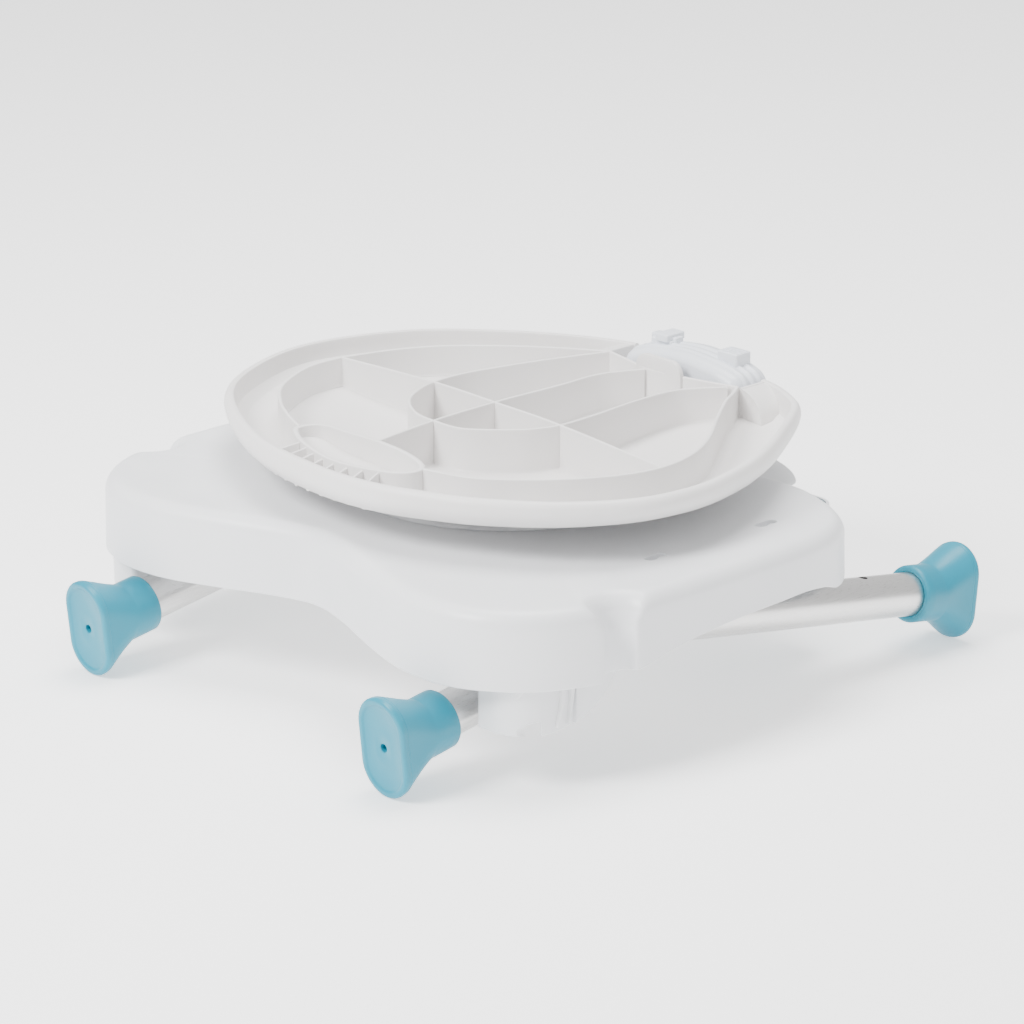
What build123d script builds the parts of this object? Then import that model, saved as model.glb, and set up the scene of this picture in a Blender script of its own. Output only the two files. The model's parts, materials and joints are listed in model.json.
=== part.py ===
from build123d import *
from math import cos, radians, sin, tan
import os

# Folding activity-centre stand, lying folded on its feet.
# Saved with the origin on the floor under the middle of the folded stand. +X to the rear, +Y to the
# left, +Z up. Plan positions below are measured from the axis of the seat ring, which lies RING_X
# behind that origin.
# Every length is in millimetres and every angle in degrees.

RING_X = 8.25

# Stance of the folded legs
SOLE_Z = 42.52
OUTER_SOLE_X = 297.0
OUTER_SOLE_Y = 257.0
OUTER_HINGE_X = 200.0
OUTER_PITCH = 9.3
OUTER_SPLAY = 1.9
INNER_SOLE_X = 313.5
INNER_SOLE_Y = 187.0
INNER_HINGE_X = 160.0
INNER_PITCH = 8.5
DEPLOY_ANGLE = 84.0

# Legs
TUBE_R = 19.0
TUBE_WALL = 1.5
TUBE_LENGTH = 422.0
SOCKET_R = 21.2
SOCKET_END = 104.0
SOCKET_SEAT = 30.0
RUN_GAP = 0.06
HEIGHT_STEP = 28.0
FIRST_HOLE = 18.0
HINGE_PIN_R = 5.0
HEAD_HALF = 17.0

# Feet
FOOT_LENGTH = 63.5
COLLAR_R = 25.0
COLLAR_LENGTH = 28.0
COLLAR_SLANT = 8.0
SOLE_TALL = 85.5
SOLE_WIDE = 53.0
SOLE_BAND = 5.0
SOLE_RIM = 6.5

# Deck
DECK_TOP = 150.0
DECK_SKIRT = 88.0
DECK_SIDE = 106.0
WALL = 3.0
DECK_EDGE_R = 14.0
OPENING_R = 128.0
BRIM_TOP = 140.0
LIP_TOP = 164.5

# Cover, lying upside down
COVER_X = 21.0
COVER_Y = 18.0
COVER_YAW = -2.2
COVER_TOP = 205.0
COVER_LOW = 163.0
COVER_DOME_R = 1850.0
PLATE = 2.5
RIB = 2.6

# Rear bridge
BRIDGE_X0 = 211.0
BRIDGE_X1 = 256.0
BRIDGE_HALF = 73.0
BRIDGE_TOP = 221.5
LUG_Y = 41.0

OUTER_REACH = OUTER_SOLE_X + OUTER_HINGE_X
OUTER_LENGTH = OUTER_REACH / cos(radians(OUTER_PITCH)) / cos(radians(OUTER_SPLAY))
OUTER_HINGE_Z = SOLE_Z + OUTER_REACH * tan(radians(OUTER_PITCH))
OUTER_HINGE_Y = OUTER_SOLE_Y - OUTER_LENGTH * sin(radians(OUTER_SPLAY))
INNER_REACH = INNER_SOLE_X + INNER_HINGE_X
INNER_LENGTH = INNER_REACH / cos(radians(INNER_PITCH))
INNER_HINGE_Z = SOLE_Z + INNER_REACH * tan(radians(INNER_PITCH))

OUTER = {
    "hinge": (OUTER_HINGE_X, OUTER_HINGE_Y, OUTER_HINGE_Z),
    "pitch": OUTER_PITCH,
    "splay": OUTER_SPLAY,
    "length": OUTER_LENGTH,
    "front": 39.0,
    "disc": (-4.0, 5.0, 80.0),
    "corner": 36.0,
    "top": DECK_TOP - WALL - 4.5,
    "ears": (-19.0, 34.0),
    "fins": True,
}
INNER = {
    "hinge": (INNER_HINGE_X, INNER_SOLE_Y, INNER_HINGE_Z),
    "pitch": INNER_PITCH,
    "splay": 0.0,
    "length": INNER_LENGTH,
    "front": 32.0,
    "disc": (0.0, 0.0, 57.0),
    "corner": 24.0,
    "top": BRIM_TOP - WALL - 1.0,
    "ears": (16.0, 36.0),
    "fins": False,
}
# Each corner: side of the deck along X and Y, and the kind of leg hinged there
CORNERS = {
    "front_left": (-1, 1, OUTER),
    "front_right": (-1, -1, OUTER),
    "rear_left": (1, 1, INNER),
    "rear_right": (1, -1, INNER),
}
CHEEK_IN = (-22.5, -25.5)
CHEEK_OUT = (24.2, 26.7)
EAR_Z = 128.0
EAR_Y = -33.0
LATCH_Z = -30.0


def along_x(radius, x0, x1, y=0.0, z=0.0):
    """Round bar along X from x0 to x1."""
    return Pos((x0 + x1) / 2, y, z) * Rot(0, 90, 0) * Cylinder(radius, abs(x1 - x0))


def along_y(radius, y0, y1, x=0.0, z=0.0):
    """Round bar along Y from y0 to y1."""
    return Pos(x, (y0 + y1) / 2, z) * Rot(90, 0, 0) * Cylinder(radius, abs(y1 - y0))


def along_z(radius, z0, z1, x=0.0, y=0.0):
    """Round bar along Z from z0 to z1."""
    return Pos(x, y, (z0 + z1) / 2) * Cylinder(radius, abs(z1 - z0))


def block(x0, x1, y0, y1, z0, z1):
    """Rectangular block between two corners."""
    return Pos((x0 + x1) / 2, (y0 + y1) / 2, (z0 + z1) / 2) * Box(x1 - x0, y1 - y0, z1 - z0)


def prism_xz(points, y0, y1):
    """Block with a straight-sided outline in X and Z, from y0 to y1."""
    face = make_face(Polyline(*[(x, y0, z) for x, z in points], close=True))
    return extrude(face, amount=y1 - y0, dir=(0, 1, 0))


def rounded(points, radius):
    """Closed plan outline with every corner rounded."""
    face = make_face(Polyline(*points, close=True))
    return fillet(face.vertices(), radius)


def both_sides(half, radius):
    """Rounded outline from the corners of its right half, front to rear."""
    return rounded(half + [(x, -y) for x, y in reversed(half)], radius)


# ---------------------------------------------------------------- deck

DECK_HALF = [
    (-219, -15),
    (-268, -160),
    (-257, -238),
    (-210, -281),
    (-155, -296),
    (60, -299),
    (110, -291),
    (143, -266),
    (172, -205),
]
LOBE_HALF = [(150, -150), (188, -159), (213, -146), (237, -92), (250, -30)]
RECESS_X = -155.0
RECESS_Y = 294.0
SLOTS = ((-53.0, 230.0), (73.0, 235.0))


def recess(grow):
    """Tapered half-round channel beside each front corner; grow thickens it for the wall behind."""
    depth = DECK_TOP - DECK_SKIRT + 20
    cone = Cone(14.0 + grow, 24.0 + grow, depth)
    z = DECK_SKIRT - 10 + depth / 2
    return Pos(RECESS_X, RECESS_Y, z) * cone + Pos(RECESS_X, -RECESS_Y, z) * cone


def skirt_cut(side):
    """Material taken off the lower edge of a side wall, which sweeps up behind the front corner."""
    low = DECK_SKIRT - 5
    profile = [(-228, low), (-140, DECK_SIDE), (90, DECK_SIDE), (98, 99), (122, 99)]
    profile += [(132, DECK_SIDE), (300, DECK_SIDE), (300, low)]
    return Pos(0, 260 * side, 0) * prism_xz(profile, -60, 60)


def lobe_block(inset, z0, z1):
    """Slab of the rear lobe's outline, drawn in by inset, from z0 to z1."""
    return Pos(0, 0, z0) * extrude(offset(both_sides(LOBE_HALF, 20), amount=-inset), amount=z1 - z0)


def deck_block(inset, z0, z1, edge):
    """Slab of the deck's outline, drawn in by inset, with a rounded upper edge."""
    body = Pos(0, 0, z0) * extrude(offset(both_sides(DECK_HALF, 60), amount=-inset), amount=z1 - z0)
    return fillet(body.edges().group_by(Axis.Z)[-1], edge)


def deck():
    """Moulded table: a hollow skirted shell with a seat opening, a rear lobe and screw bosses."""
    shell = deck_block(0.01, DECK_SKIRT, DECK_TOP, DECK_EDGE_R) - recess(0)
    shell += lobe_block(15, DECK_SIDE, BRIM_TOP - 1) + lobe_block(0.01, BRIM_TOP - WALL, BRIM_TOP)
    shell -= deck_block(WALL, DECK_SKIRT - 1, DECK_TOP - WALL, DECK_EDGE_R - WALL) - recess(WALL)
    shell -= lobe_block(15 + WALL, DECK_SIDE - 1, BRIM_TOP - WALL) - block(168, 172, -200, 200, 90, 150)
    shell -= skirt_cut(1) + skirt_cut(-1)
    shell -= block(150, 300, -250, 250, 60, DECK_SIDE)
    shell -= along_z(OPENING_R, 100, 200)
    for side in (-1, 1):
        for x, y in SLOTS:
            shell -= Pos(x, side * y, DECK_TOP - 10) * extrude(SlotOverall(22, 9), amount=20)
        room = block(130, 220, CHEEK_IN[1] - 1.5, CHEEK_OUT[1] + 1.5, 60, BRIM_TOP - WALL)
        room = room if side > 0 else mirror(room, about=Plane.XZ)
        shell -= Pos(0, side * INNER_SOLE_Y, 0) * room
    for name in CORNERS:
        for x in CORNERS[name][2]["ears"]:
            spot = corner_point(name, x, EAR_Y)
            shell += along_z(6.5, EAR_Z, DECK_TOP - 1, *spot) - along_z(1.9, EAR_Z - 1, DECK_TOP - 4, *spot)
    for x, y in BRIDGE_SCREWS:
        shell += along_z(5.5, BRIM_TOP - 20, BRIM_TOP - 1, x, y)
        shell -= along_z(1.9, BRIM_TOP - 30, BRIM_TOP + 5, x, y)
    return shell


# ---------------------------------------------------------------- placing at the corners


def fold_place(name):
    """Hinge frame of a corner: origin on the hinge, x towards the folded foot."""
    sx, sy, kind = CORNERS[name]
    x, y, z = kind["hinge"]
    return Pos(sx * x, sy * y, z) * Rot(0, 0, 180 if sx > 0 else 0)


def hand(name):
    """+1 where the outer side of the leg is the hinge frame's +y, otherwise -1."""
    sx, sy, _ = CORNERS[name]
    return -sx * sy


def put(part, name):
    """Places a part made for the +y hand at its corner, in the hinge frame."""
    handed = part if hand(name) > 0 else mirror(part, about=Plane.XZ)
    return fold_place(name) * handed


def put_leg(part, name):
    """Places a part made on the leg axis (x from hinge to foot) at its corner."""
    kind = CORNERS[name][2]
    return put(Rot(0, kind["pitch"], 0) * Rot(0, 0, kind["splay"]) * part, name)


def corner_point(name, x, y):
    """Where a point of the hinge frame's plan lands in the stand's own plan."""
    sx, sy, kind = CORNERS[name]
    hx, hy, _ = kind["hinge"]
    return (sx * hx - sx * x, sy * hy + sy * y)


# ---------------------------------------------------------------- hinge housings


def housing_side(kind, inset):
    """Side outline of a housing: upright front, flat foot and a quarter disc towards the leg."""
    cx, cz, r = kind["disc"]
    r = r - inset
    top = kind["top"] - kind["hinge"][2] - inset
    x0 = inset - kind["front"]
    foot = cz - r
    slant = sin(radians(45)) * r
    edges = [
        Line((x0, 0, top), (x0, 0, foot)),
        Line((x0, 0, foot), (cx, 0, foot)),
        ThreePointArc((cx, 0, foot), (cx + slant, 0, cz - slant), (cx + r, 0, cz)),
        Line((cx + r, 0, cz), (cx + r, 0, top)),
        Line((cx + r, 0, top), (x0, 0, top)),
    ]
    return make_face(Curve() + edges)


def slab(face, y0, y1):
    """A side outline given thickness from y0 to y1."""
    return Pos(0, y0, 0) * extrude(face, amount=y1 - y0, dir=(0, 1, 0))


def front_edges(part, y):
    """Upright edges at the front of a housing on the side y."""
    upright = part.edges().filter_by(Axis.Z).sort_by(Axis.X)[:2]
    return [e for e in upright if abs(e.center().Y - y) < 1]


def housing(kind):
    """Two cheeks and a rounded front wall around the knuckle, open below and towards the leg."""
    side = housing_side(kind, 0)
    body = slab(side, CHEEK_IN[1], CHEEK_OUT[1])
    body = fillet(front_edges(body, CHEEK_OUT[1]), kind["corner"])
    cx, cz, r = kind["disc"]
    room = block(WALL + 0.5 - kind["front"], cx + r + 5, CHEEK_IN[0], CHEEK_OUT[0], cz - r - 5, 50)
    room = fillet(front_edges(room, CHEEK_OUT[0]), kind["corner"] - WALL)
    body -= room
    body -= along_y(HINGE_PIN_R, CHEEK_IN[1] - 5, CHEEK_OUT[1] - 1.0)
    if kind["fins"]:
        plate = slab(side, CHEEK_OUT[1], CHEEK_OUT[1] + 4)
        keep = block(14, 100, 20, 40, -100, -30) + block(2, 4.5, 20, 40, -100, -30)
        body += plate & keep
        body -= along_x(6.0, -60, -30, y=16, z=cz - r)
    boss = along_y(9, CHEEK_IN[1] - 7.5, CHEEK_IN[1] + 0.5, z=LATCH_Z)
    body += boss
    body -= along_y(4.05, -40, -20, z=LATCH_Z)
    body -= along_y(6.8, CHEEK_IN[1] - 6, CHEEK_IN[0] - 1.5, z=LATCH_Z)
    ear_z = EAR_Z - kind["hinge"][2]
    for x in kind["ears"]:
        ear = block(x - 7, x + 7, EAR_Y - 7, CHEEK_IN[1] + 1, ear_z - 4, ear_z)
        body += ear - along_z(2.3, ear_z - 5, ear_z + 1, x, EAR_Y)
    return body


def hinge_pin():
    """Steel pin with a round head inside the deck."""
    shaft = along_y(HINGE_PIN_R, CHEEK_IN[1], CHEEK_OUT[1] - 1.0)
    head = along_y(8.0, CHEEK_IN[1] - 2.6, CHEEK_IN[1])
    return shaft + fillet(head.edges().sort_by(Axis.Y)[0], 1.0)


def ear_screw(x, kind):
    """Pan-head screw up through a housing ear into its boss."""
    z = EAR_Z - kind["hinge"][2]
    head = along_z(4.0, z - 7, z - 4, x, EAR_Y)
    return fillet(head.edges().sort_by(Axis.Z)[0], 1.2) + along_z(1.85, z - 4.5, z + 15, x, EAR_Y)


def fold_latch():
    """Pull knob that locks an unfolded leg; its tip stands just clear of the socket."""
    tip = CHEEK_IN[0] + 1.0
    bar = along_y(4.0, tip, CHEEK_IN[1] - 8.5, z=LATCH_Z)
    flange = along_y(6.4, CHEEK_IN[0] - 1.8, CHEEK_IN[0] - 2.8, z=LATCH_Z)
    knob = along_y(9.0, CHEEK_IN[1] - 12.5, CHEEK_IN[1] - 8.2, z=LATCH_Z)
    return bar + flange + fillet(knob.edges().sort_by(Axis.Y)[0], 1.5)


# ---------------------------------------------------------------- legs


def tube_start(kind):
    """Distance from the hinge to the upper end of the tube at rest."""
    return kind["length"] - 12 - TUBE_LENGTH


def pin_spot(kind):
    """Distance from the hinge to the height pin: first hole of an outer leg, second of an inner one."""
    return tube_start(kind) + FIRST_HOLE + (0 if kind["fins"] else HEIGHT_STEP)


def leg_socket(kind):
    """Knuckle and sleeve that carries the tube, with the height-pin boss on its inner side."""
    body = along_x(SOCKET_R, 0, SOCKET_END)
    body = fillet(body.edges().sort_by(Axis.X)[-1], 1.0)
    body += Rot(0, 0, -kind["splay"]) * along_y(SOCKET_R, -HEAD_HALF, HEAD_HALF)
    x = pin_spot(kind)
    body += along_y(9.0, -28.0, -15.0, x=x)
    body -= along_x(TUBE_R + RUN_GAP, SOCKET_SEAT, SOCKET_END + 1)
    body -= Rot(0, 0, -kind["splay"]) * along_y(HINGE_PIN_R + RUN_GAP, -30, 30)
    body -= along_y(3.04, -30.0, -17.0, x=x)
    body -= along_y(5.4, -26.4, -20.6, x=x)
    return body


def height_pin(kind):
    """Pull pin for the leg length; its tip stands just clear of the tube."""
    x = pin_spot(kind)
    bar = along_y(3.0, -29.0, -19.5, x=x)
    flange = along_y(5.1, -21.6, -20.8, x=x)
    knob = along_y(7.0, -31.6, -28.4, x=x)
    return bar + flange + fillet(knob.edges().sort_by(Axis.Y)[0], 1.2)


def leg_tube(kind):
    """Aluminium tube with its height holes, accessory hole and rivet hole."""
    x0 = tube_start(kind)
    x1 = x0 + TUBE_LENGTH
    body = along_x(TUBE_R, x0, x1) - along_x(TUBE_R - TUBE_WALL, x0 - 1, x1 + 1)
    for step in (FIRST_HOLE, FIRST_HOLE + HEIGHT_STEP):
        body -= along_y(3.2, -25, 0, x=x0 + step)
    body -= along_z(4.0, 0, 25, x=kind["length"] - 124)
    body -= along_z(2.4, -25, 0, x=x0 + 97)
    return body


def sole_plane(kind, back):
    """Plane standing back from the sole, which is square to the floor once the leg is down."""
    tilt = DEPLOY_ANGLE + kind["pitch"] - 90
    normal = Vector(cos(radians(tilt)), 0, sin(radians(tilt))).rotate(Axis.Z, -kind["splay"])
    up = Vector(-sin(radians(tilt)), 0, cos(radians(tilt))).rotate(Axis.Z, -kind["splay"])
    return Plane(Vector(kind["length"], 0, 0) - normal * back, x_dir=up, z_dir=normal)


def foot(kind):
    """Rubber boot: a round collar on the tube, flaring to a tall rounded sole with a sunk panel."""
    x1 = kind["length"]
    x0 = x1 - FOOT_LENGTH
    collar = along_x(COLLAR_R, x0, x0 + COLLAR_LENGTH + 3)
    collar = fillet(collar.edges().sort_by(Axis.X)[0], 2.0)
    waist = Pos(x0 + COLLAR_LENGTH - 2, 0, 0) * Rot(0, 90 - COLLAR_SLANT, 0) * Circle(COLLAR_R - 1)
    sole = SlotOverall(SOLE_TALL, SOLE_WIDE)
    flare = loft([waist.face(), (sole_plane(kind, SOLE_BAND) * sole).face()])
    band = extrude(sole_plane(kind, SOLE_BAND) * sole, amount=SOLE_BAND)
    body = collar + flare + band
    panel = SlotOverall(SOLE_TALL - 2 * SOLE_RIM, SOLE_WIDE - 2 * SOLE_RIM)
    body -= extrude(sole_plane(kind, 2.0) * panel, amount=4)
    body -= along_x(TUBE_R, x0 - 2, x1 - 12)
    body -= along_x(3.6, x1 - 20, x1 + 10)
    return body


def foot_plug(kind):
    """Plastic plug pressed into the lower end of the tube."""
    x1 = kind["length"] - 12
    body = along_x(TUBE_R - TUBE_WALL, x1 - 24, x1)
    return body - along_x(1.9, x1 - 18, x1 + 1)


def sole_screw(kind):
    """Screw that holds the boot to the plug, sunk in the sole."""
    x1 = kind["length"] - 12
    return along_x(3.5, x1, x1 + 3) + along_x(1.85, x1 - 16, x1 + 1)


# ---------------------------------------------------------------- seat ring


def arc_band(r0, r1, z0, z1, start, sweep_angle):
    """Part of a flat ring between two angles."""
    face = make_face(Polyline((r0, 0, z0), (r1, 0, z0), (r1, 0, z1), (r0, 0, z1), close=True))
    return Rot(0, 0, start) * revolve(face, axis=Axis.Z, revolution_arc=sweep_angle)


def ring_band(r0, r1, z0, z1):
    """Plain flat ring."""
    return along_z(r1, z0, z1) - along_z(r0, z0 - 1, z1 + 1)


def seat_ring():
    """Swivelling ring: flange on the deck, neck through the opening, raised lip and four ridges."""
    body = ring_band(118.0, 142.0, DECK_TOP + 0.4, DECK_TOP + 3.4)
    body += ring_band(122.0, 127.4, DECK_TOP - 9.6, DECK_TOP + 1)
    body += ring_band(118.0, 121.0, DECK_TOP + 1, LIP_TOP)
    for start in range(0, 360, 90):
        ridge = arc_band(131.0, 141.0, DECK_TOP + 3, DECK_TOP + 8, start + 135, 68)
        body += fillet(ridge.edges().group_by(Axis.Z)[-1], 2.5)
    for spot in ring_spots():
        body -= along_z(1.0, DECK_TOP - 10, DECK_TOP - 2, *spot)
    return body


def ring_spots():
    """Places of the six screws that hold the retainer."""
    return [(124.7 * cos(radians(a)), 124.7 * sin(radians(a))) for a in range(30, 390, 60)]


def ring_retainer():
    """Flat ring under the deck that keeps the seat ring in its opening."""
    body = ring_band(120.5, 138.0, DECK_TOP - 12.6, DECK_TOP - 9.6)
    body += ring_band(130.5, 138.0, DECK_TOP - 10, DECK_TOP - WALL - 0.4)
    for spot in ring_spots():
        body -= along_z(1.3, DECK_TOP - 14, DECK_TOP - 8, *spot)
    return body


def ring_screws():
    """Six small screws from below into the neck."""
    parts = []
    for spot in ring_spots():
        head = along_z(2.4, DECK_TOP - 14.4, DECK_TOP - 12.6, *spot)
        parts.append(head + along_z(0.95, DECK_TOP - 12.8, DECK_TOP - 4, *spot))
    return parts


# ---------------------------------------------------------------- cover

COVER_OUTLINE = [
    (-230, -8),
    (-214, 90),
    (-152, 205),
    (-76, 261),
    (6, 281),
    (99, 255),
    (165, 197),
    (208, 132),
    (232, 60),
    (240, 0),
    (232, -85),
    (213, -137),
    (165, -190),
    (79, -236),
    (-30, -268),
    (-143, -225),
    (-208, -133),
]
RING_WALL = [
    (-166, 82),
    (-136, 145),
    (-72, 206),
    (-5, 221),
    (70, 200),
    (130, 150),
    (188, 74),
]
RING_NEAR = [
    (-163, -78),
    (-136, -142),
    (-100, -174),
    (-15, -206),
    (67, -176),
    (117, -137),
    (155, -108),
    (195, -83),
]
LEAF = [
    (188, 74),
    (130, 92),
    (43, 109),
    (-26, 94),
    (-67, 46),
    (-66, -17),
    (-18, -59),
    (50, -61),
    (104, -54),
    (150, -55),
    (195, -83),
]
SPINE = [(-143, 5), (-68, 17), (82, 25), (176, 14)]
CROSS = [(2, 220), (-6, -205)]
CHORD = [(188, 74), (174, 0), (195, -83)]
LENS = [(-168, 88), (-146, 46), (-146, -38), (-165, -84), (-196, -56), (-205, -26), (-194, 38)]
TAB_Y = (-30.0, 28.0)
BAY_Y = (-86.0, 66.0)


def dome(lift):
    """Everything above the cover's domed plate, up to its rim; lift raises the dome's surface."""
    r = COVER_DOME_R - lift
    reach = 330.0
    centre = COVER_LOW + COVER_DOME_R
    z0 = centre - r
    z1 = centre - (r**2 - reach**2) ** 0.5
    zm = centre - (r**2 - (reach / 2) ** 2) ** 0.5
    edges = [
        ThreePointArc((0, 0, z0), (reach / 2, 0, zm), (reach, 0, z1)),
        Line((reach, 0, z1), (reach, 0, COVER_TOP)),
        Line((reach, 0, COVER_TOP), (0, 0, COVER_TOP)),
        Line((0, 0, COVER_TOP), (0, 0, z0)),
    ]
    return revolve(make_face(Curve() + edges), axis=Axis.Z)


def upright(face, bottom=COVER_LOW - 5, top=COVER_TOP):
    """Plan outline of the cover drawn up from bottom to top."""
    return Pos(0, 0, bottom) * extrude(face, amount=top - bottom)


def wall_line(points, width=RIB):
    """Plan of a thin wall along a line with rounded corners."""
    line = Line(*points) if len(points) == 2 else FilletPolyline(*points, radius=22)
    return trace(line, line_width=width)


def comb():
    """Plan of the eight slanted ribs between the finger pocket and the rim."""
    ribs = [wall_line([(-190, 50 - 16 * i), (-236, 58 - 16 * i)], 2.2) for i in range(8)]
    return Sketch() + ribs


def ramp(y, side):
    """Sloped pad that closes the rim channel beside the bridge bay."""
    far = y + side * 46
    points = [(188, y, 206), (188, y + side * 12, 204), (188, far, 160), (188, y, 160)]
    return extrude(make_face(Polyline(*points, close=True)), amount=70, dir=(1, 0, 0))


def bridge_bay():
    """Bay in the rear edge of the cover that clears the bridge."""
    bay = block(BRIDGE_X0 - 1, 320, -BRIDGE_HALF - 2, BRIDGE_HALF + 2, 100, 300)
    return Rot(0, 0, -COVER_YAW) * Pos(-COVER_X, -COVER_Y, 0) * bay


def cover():
    """Table-top cover, upside down: domed plate, rounded rim, ring wall, ribs and finger pocket."""
    outline = rounded(COVER_OUTLINE, 140)
    shell = upright(outline) & dome(0)
    shell = fillet(shell.edges().group_by(Axis.Z)[-1], 3.0)
    lens = rounded(LENS, 12)
    open_plan = offset(outline, amount=-5.0)
    for points in (RING_WALL, RING_NEAR, CHORD):
        open_plan -= wall_line(points, 3.2)
    for points in (LEAF, SPINE, CROSS):
        open_plan -= wall_line(points)
    pocket = open_plan & offset(lens, amount=-5.0)
    room = upright(open_plan - lens - comb(), top=COVER_TOP + 1) & dome(PLATE)
    room += upright(pocket, bottom=COVER_TOP - 16, top=COVER_TOP + 1)
    comb_top = upright(comb() & open_plan - lens, bottom=COVER_TOP - 4, top=COVER_TOP + 1)
    shell -= room - (ramp(BAY_Y[1], 1) + ramp(BAY_Y[0], -1))
    shell -= comb_top
    shell -= bridge_bay()
    return shell + block(175.5, 179, TAB_Y[0], TAB_Y[1], 175, COVER_TOP + 13)


def put_cover(part):
    """Cover's own plan frame set on the stand."""
    return Pos(COVER_X, COVER_Y, 0) * Rot(0, 0, COVER_YAW) * part


# ---------------------------------------------------------------- rear bridge

BRIDGE_SCREWS = ((222.0, -50.0), (222.0, 50.0))


def arch_face(x, grow):
    """Arched end view of the bridge at x, drawn in by -grow."""
    half = BRIDGE_HALF + grow
    top = BRIDGE_TOP + grow
    shoulder = BRIDGE_TOP - 10 + grow
    edges = [
        Line((x, -half, BRIM_TOP), (x, -half, shoulder - 17)),
        ThreePointArc((x, -half, shoulder - 17), (x, -half + 4, shoulder - 6), (x, -half + 13, shoulder)),
        ThreePointArc((x, -half + 13, shoulder), (x, 0, top), (x, half - 13, shoulder)),
        ThreePointArc((x, half - 13, shoulder), (x, half - 4, shoulder - 6), (x, half, shoulder - 17)),
        Line((x, half, shoulder - 17), (x, half, BRIM_TOP)),
        Line((x, half, BRIM_TOP), (x, -half, BRIM_TOP)),
    ]
    return make_face(Curve() + edges)


def bridge():
    """Hollow arched bridge with three raised ridges and two accessory lugs."""
    body = extrude(arch_face(BRIDGE_X0, 0), amount=BRIDGE_X1 - BRIDGE_X0, dir=(1, 0, 0))
    body = chamfer(body.edges().group_by(Axis.X)[0].filter_by(GeomType.CIRCLE), 8.0, 4.0)
    inside_length = BRIDGE_X1 - BRIDGE_X0 - 2 * WALL
    inside = extrude(arch_face(BRIDGE_X0 + WALL, -WALL - 1), amount=inside_length, dir=(1, 0, 0))
    inside_half = BRIDGE_HALF - WALL
    cut = block(BRIDGE_X0 + WALL, BRIDGE_X1 - WALL, -inside_half, inside_half, BRIM_TOP + WALL, 200)
    body -= (inside & block(200, 300, -100, 100, 199, 300)) + cut
    for x in (226.0, 234.0, 242.0):
        crest = extrude(arch_face(x, 1.2), amount=3.0, dir=(1, 0, 0))
        body += crest - extrude(arch_face(x - 1, -1.5), amount=5.0, dir=(1, 0, 0))
    for side in (-1, 1):
        lug = block(230, 252, side * LUG_Y - 13, side * LUG_Y + 13, BRIDGE_TOP - 13, BRIDGE_TOP + 5.5)
        lug -= block(236, 240, side * LUG_Y - 20, side * LUG_Y + 20, BRIDGE_TOP + 2, BRIDGE_TOP + 20)
        body += fillet(lug.edges().filter_by(Axis.X).group_by(Axis.Z)[-1], 2.0)
    for x, y in BRIDGE_SCREWS:
        body += along_z(5.5, BRIM_TOP, BRIM_TOP + 22, x, y)
        body -= along_z(1.9, BRIM_TOP - 1, BRIM_TOP + 16, x, y)
    return body


def bridge_screws():
    """Two screws up through the rear lobe into the bridge."""
    parts = []
    for x, y in BRIDGE_SCREWS:
        head = along_z(4.0, BRIM_TOP - 22.6, BRIM_TOP - 20, x, y)
        parts.append(head + along_z(1.85, BRIM_TOP - 21, BRIM_TOP + 14, x, y))
    return parts


# ---------------------------------------------------------------- write every node


def save(parts, name):
    """Writes one node, a part or a list of them, moved from the seat ring's axis to the origin."""
    if isinstance(parts, list):
        node = Compound(children=[Pos(RING_X, 0, 0) * part for part in parts])
    else:
        node = Pos(RING_X, 0, 0) * parts
    export_step(node, f"parts/{name}.step")


os.makedirs("parts", exist_ok=True)

save(deck(), "deck_shell")
save(bridge(), "rear_bridge")
save(bridge_screws(), "bridge_screws")
save(seat_ring(), "seat_ring")
save(ring_retainer(), "ring_retainer")
save(ring_screws(), "ring_screws")
save(put_cover(cover()), "table_cover")
screws = []
for corner, (_, _, leg_kind) in CORNERS.items():
    save(put(housing(leg_kind), corner), f"hinge_housing_{corner}")
    save(put(hinge_pin(), corner), f"hinge_pin_{corner}")
    save(put(fold_latch(), corner), f"fold_latch_{corner}")
    save(put_leg(leg_socket(leg_kind), corner), f"leg_socket_{corner}")
    save(put_leg(height_pin(leg_kind), corner), f"height_pin_{corner}")
    save(put_leg(leg_tube(leg_kind), corner), f"leg_tube_{corner}")
    save(put_leg(foot(leg_kind), corner), f"foot_{corner}")
    save(put_leg(foot_plug(leg_kind), corner), f"foot_plug_{corner}")
    save(put_leg(sole_screw(leg_kind), corner), f"sole_screw_{corner}")
    screws += [put(ear_screw(x, leg_kind), corner) for x in leg_kind["ears"]]
save(screws, "housing_screws")
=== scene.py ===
import json
from math import atan2, cos, pi, radians, sin, tan

import bmesh
import bpy
import numpy as np
from mathutils import Matrix, Vector
from mathutils.geometry import delaunay_2d_cdt


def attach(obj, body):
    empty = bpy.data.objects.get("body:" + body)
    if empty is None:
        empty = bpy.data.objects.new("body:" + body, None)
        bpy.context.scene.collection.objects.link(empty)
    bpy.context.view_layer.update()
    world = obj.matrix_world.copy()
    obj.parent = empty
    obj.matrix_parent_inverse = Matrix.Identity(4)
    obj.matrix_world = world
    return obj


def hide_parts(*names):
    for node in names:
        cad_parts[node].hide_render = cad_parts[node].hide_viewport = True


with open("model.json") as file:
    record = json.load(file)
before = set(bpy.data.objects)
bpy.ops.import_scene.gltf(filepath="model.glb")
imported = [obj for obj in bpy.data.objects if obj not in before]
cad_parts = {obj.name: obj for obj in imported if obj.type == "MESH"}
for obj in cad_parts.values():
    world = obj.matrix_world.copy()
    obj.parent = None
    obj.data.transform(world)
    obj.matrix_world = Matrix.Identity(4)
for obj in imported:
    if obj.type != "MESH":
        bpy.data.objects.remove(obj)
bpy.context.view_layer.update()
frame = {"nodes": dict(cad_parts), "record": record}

MM = 0.001
# the seat ring's axis stands this far behind the middle of the part
RING_X = 8.25

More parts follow.
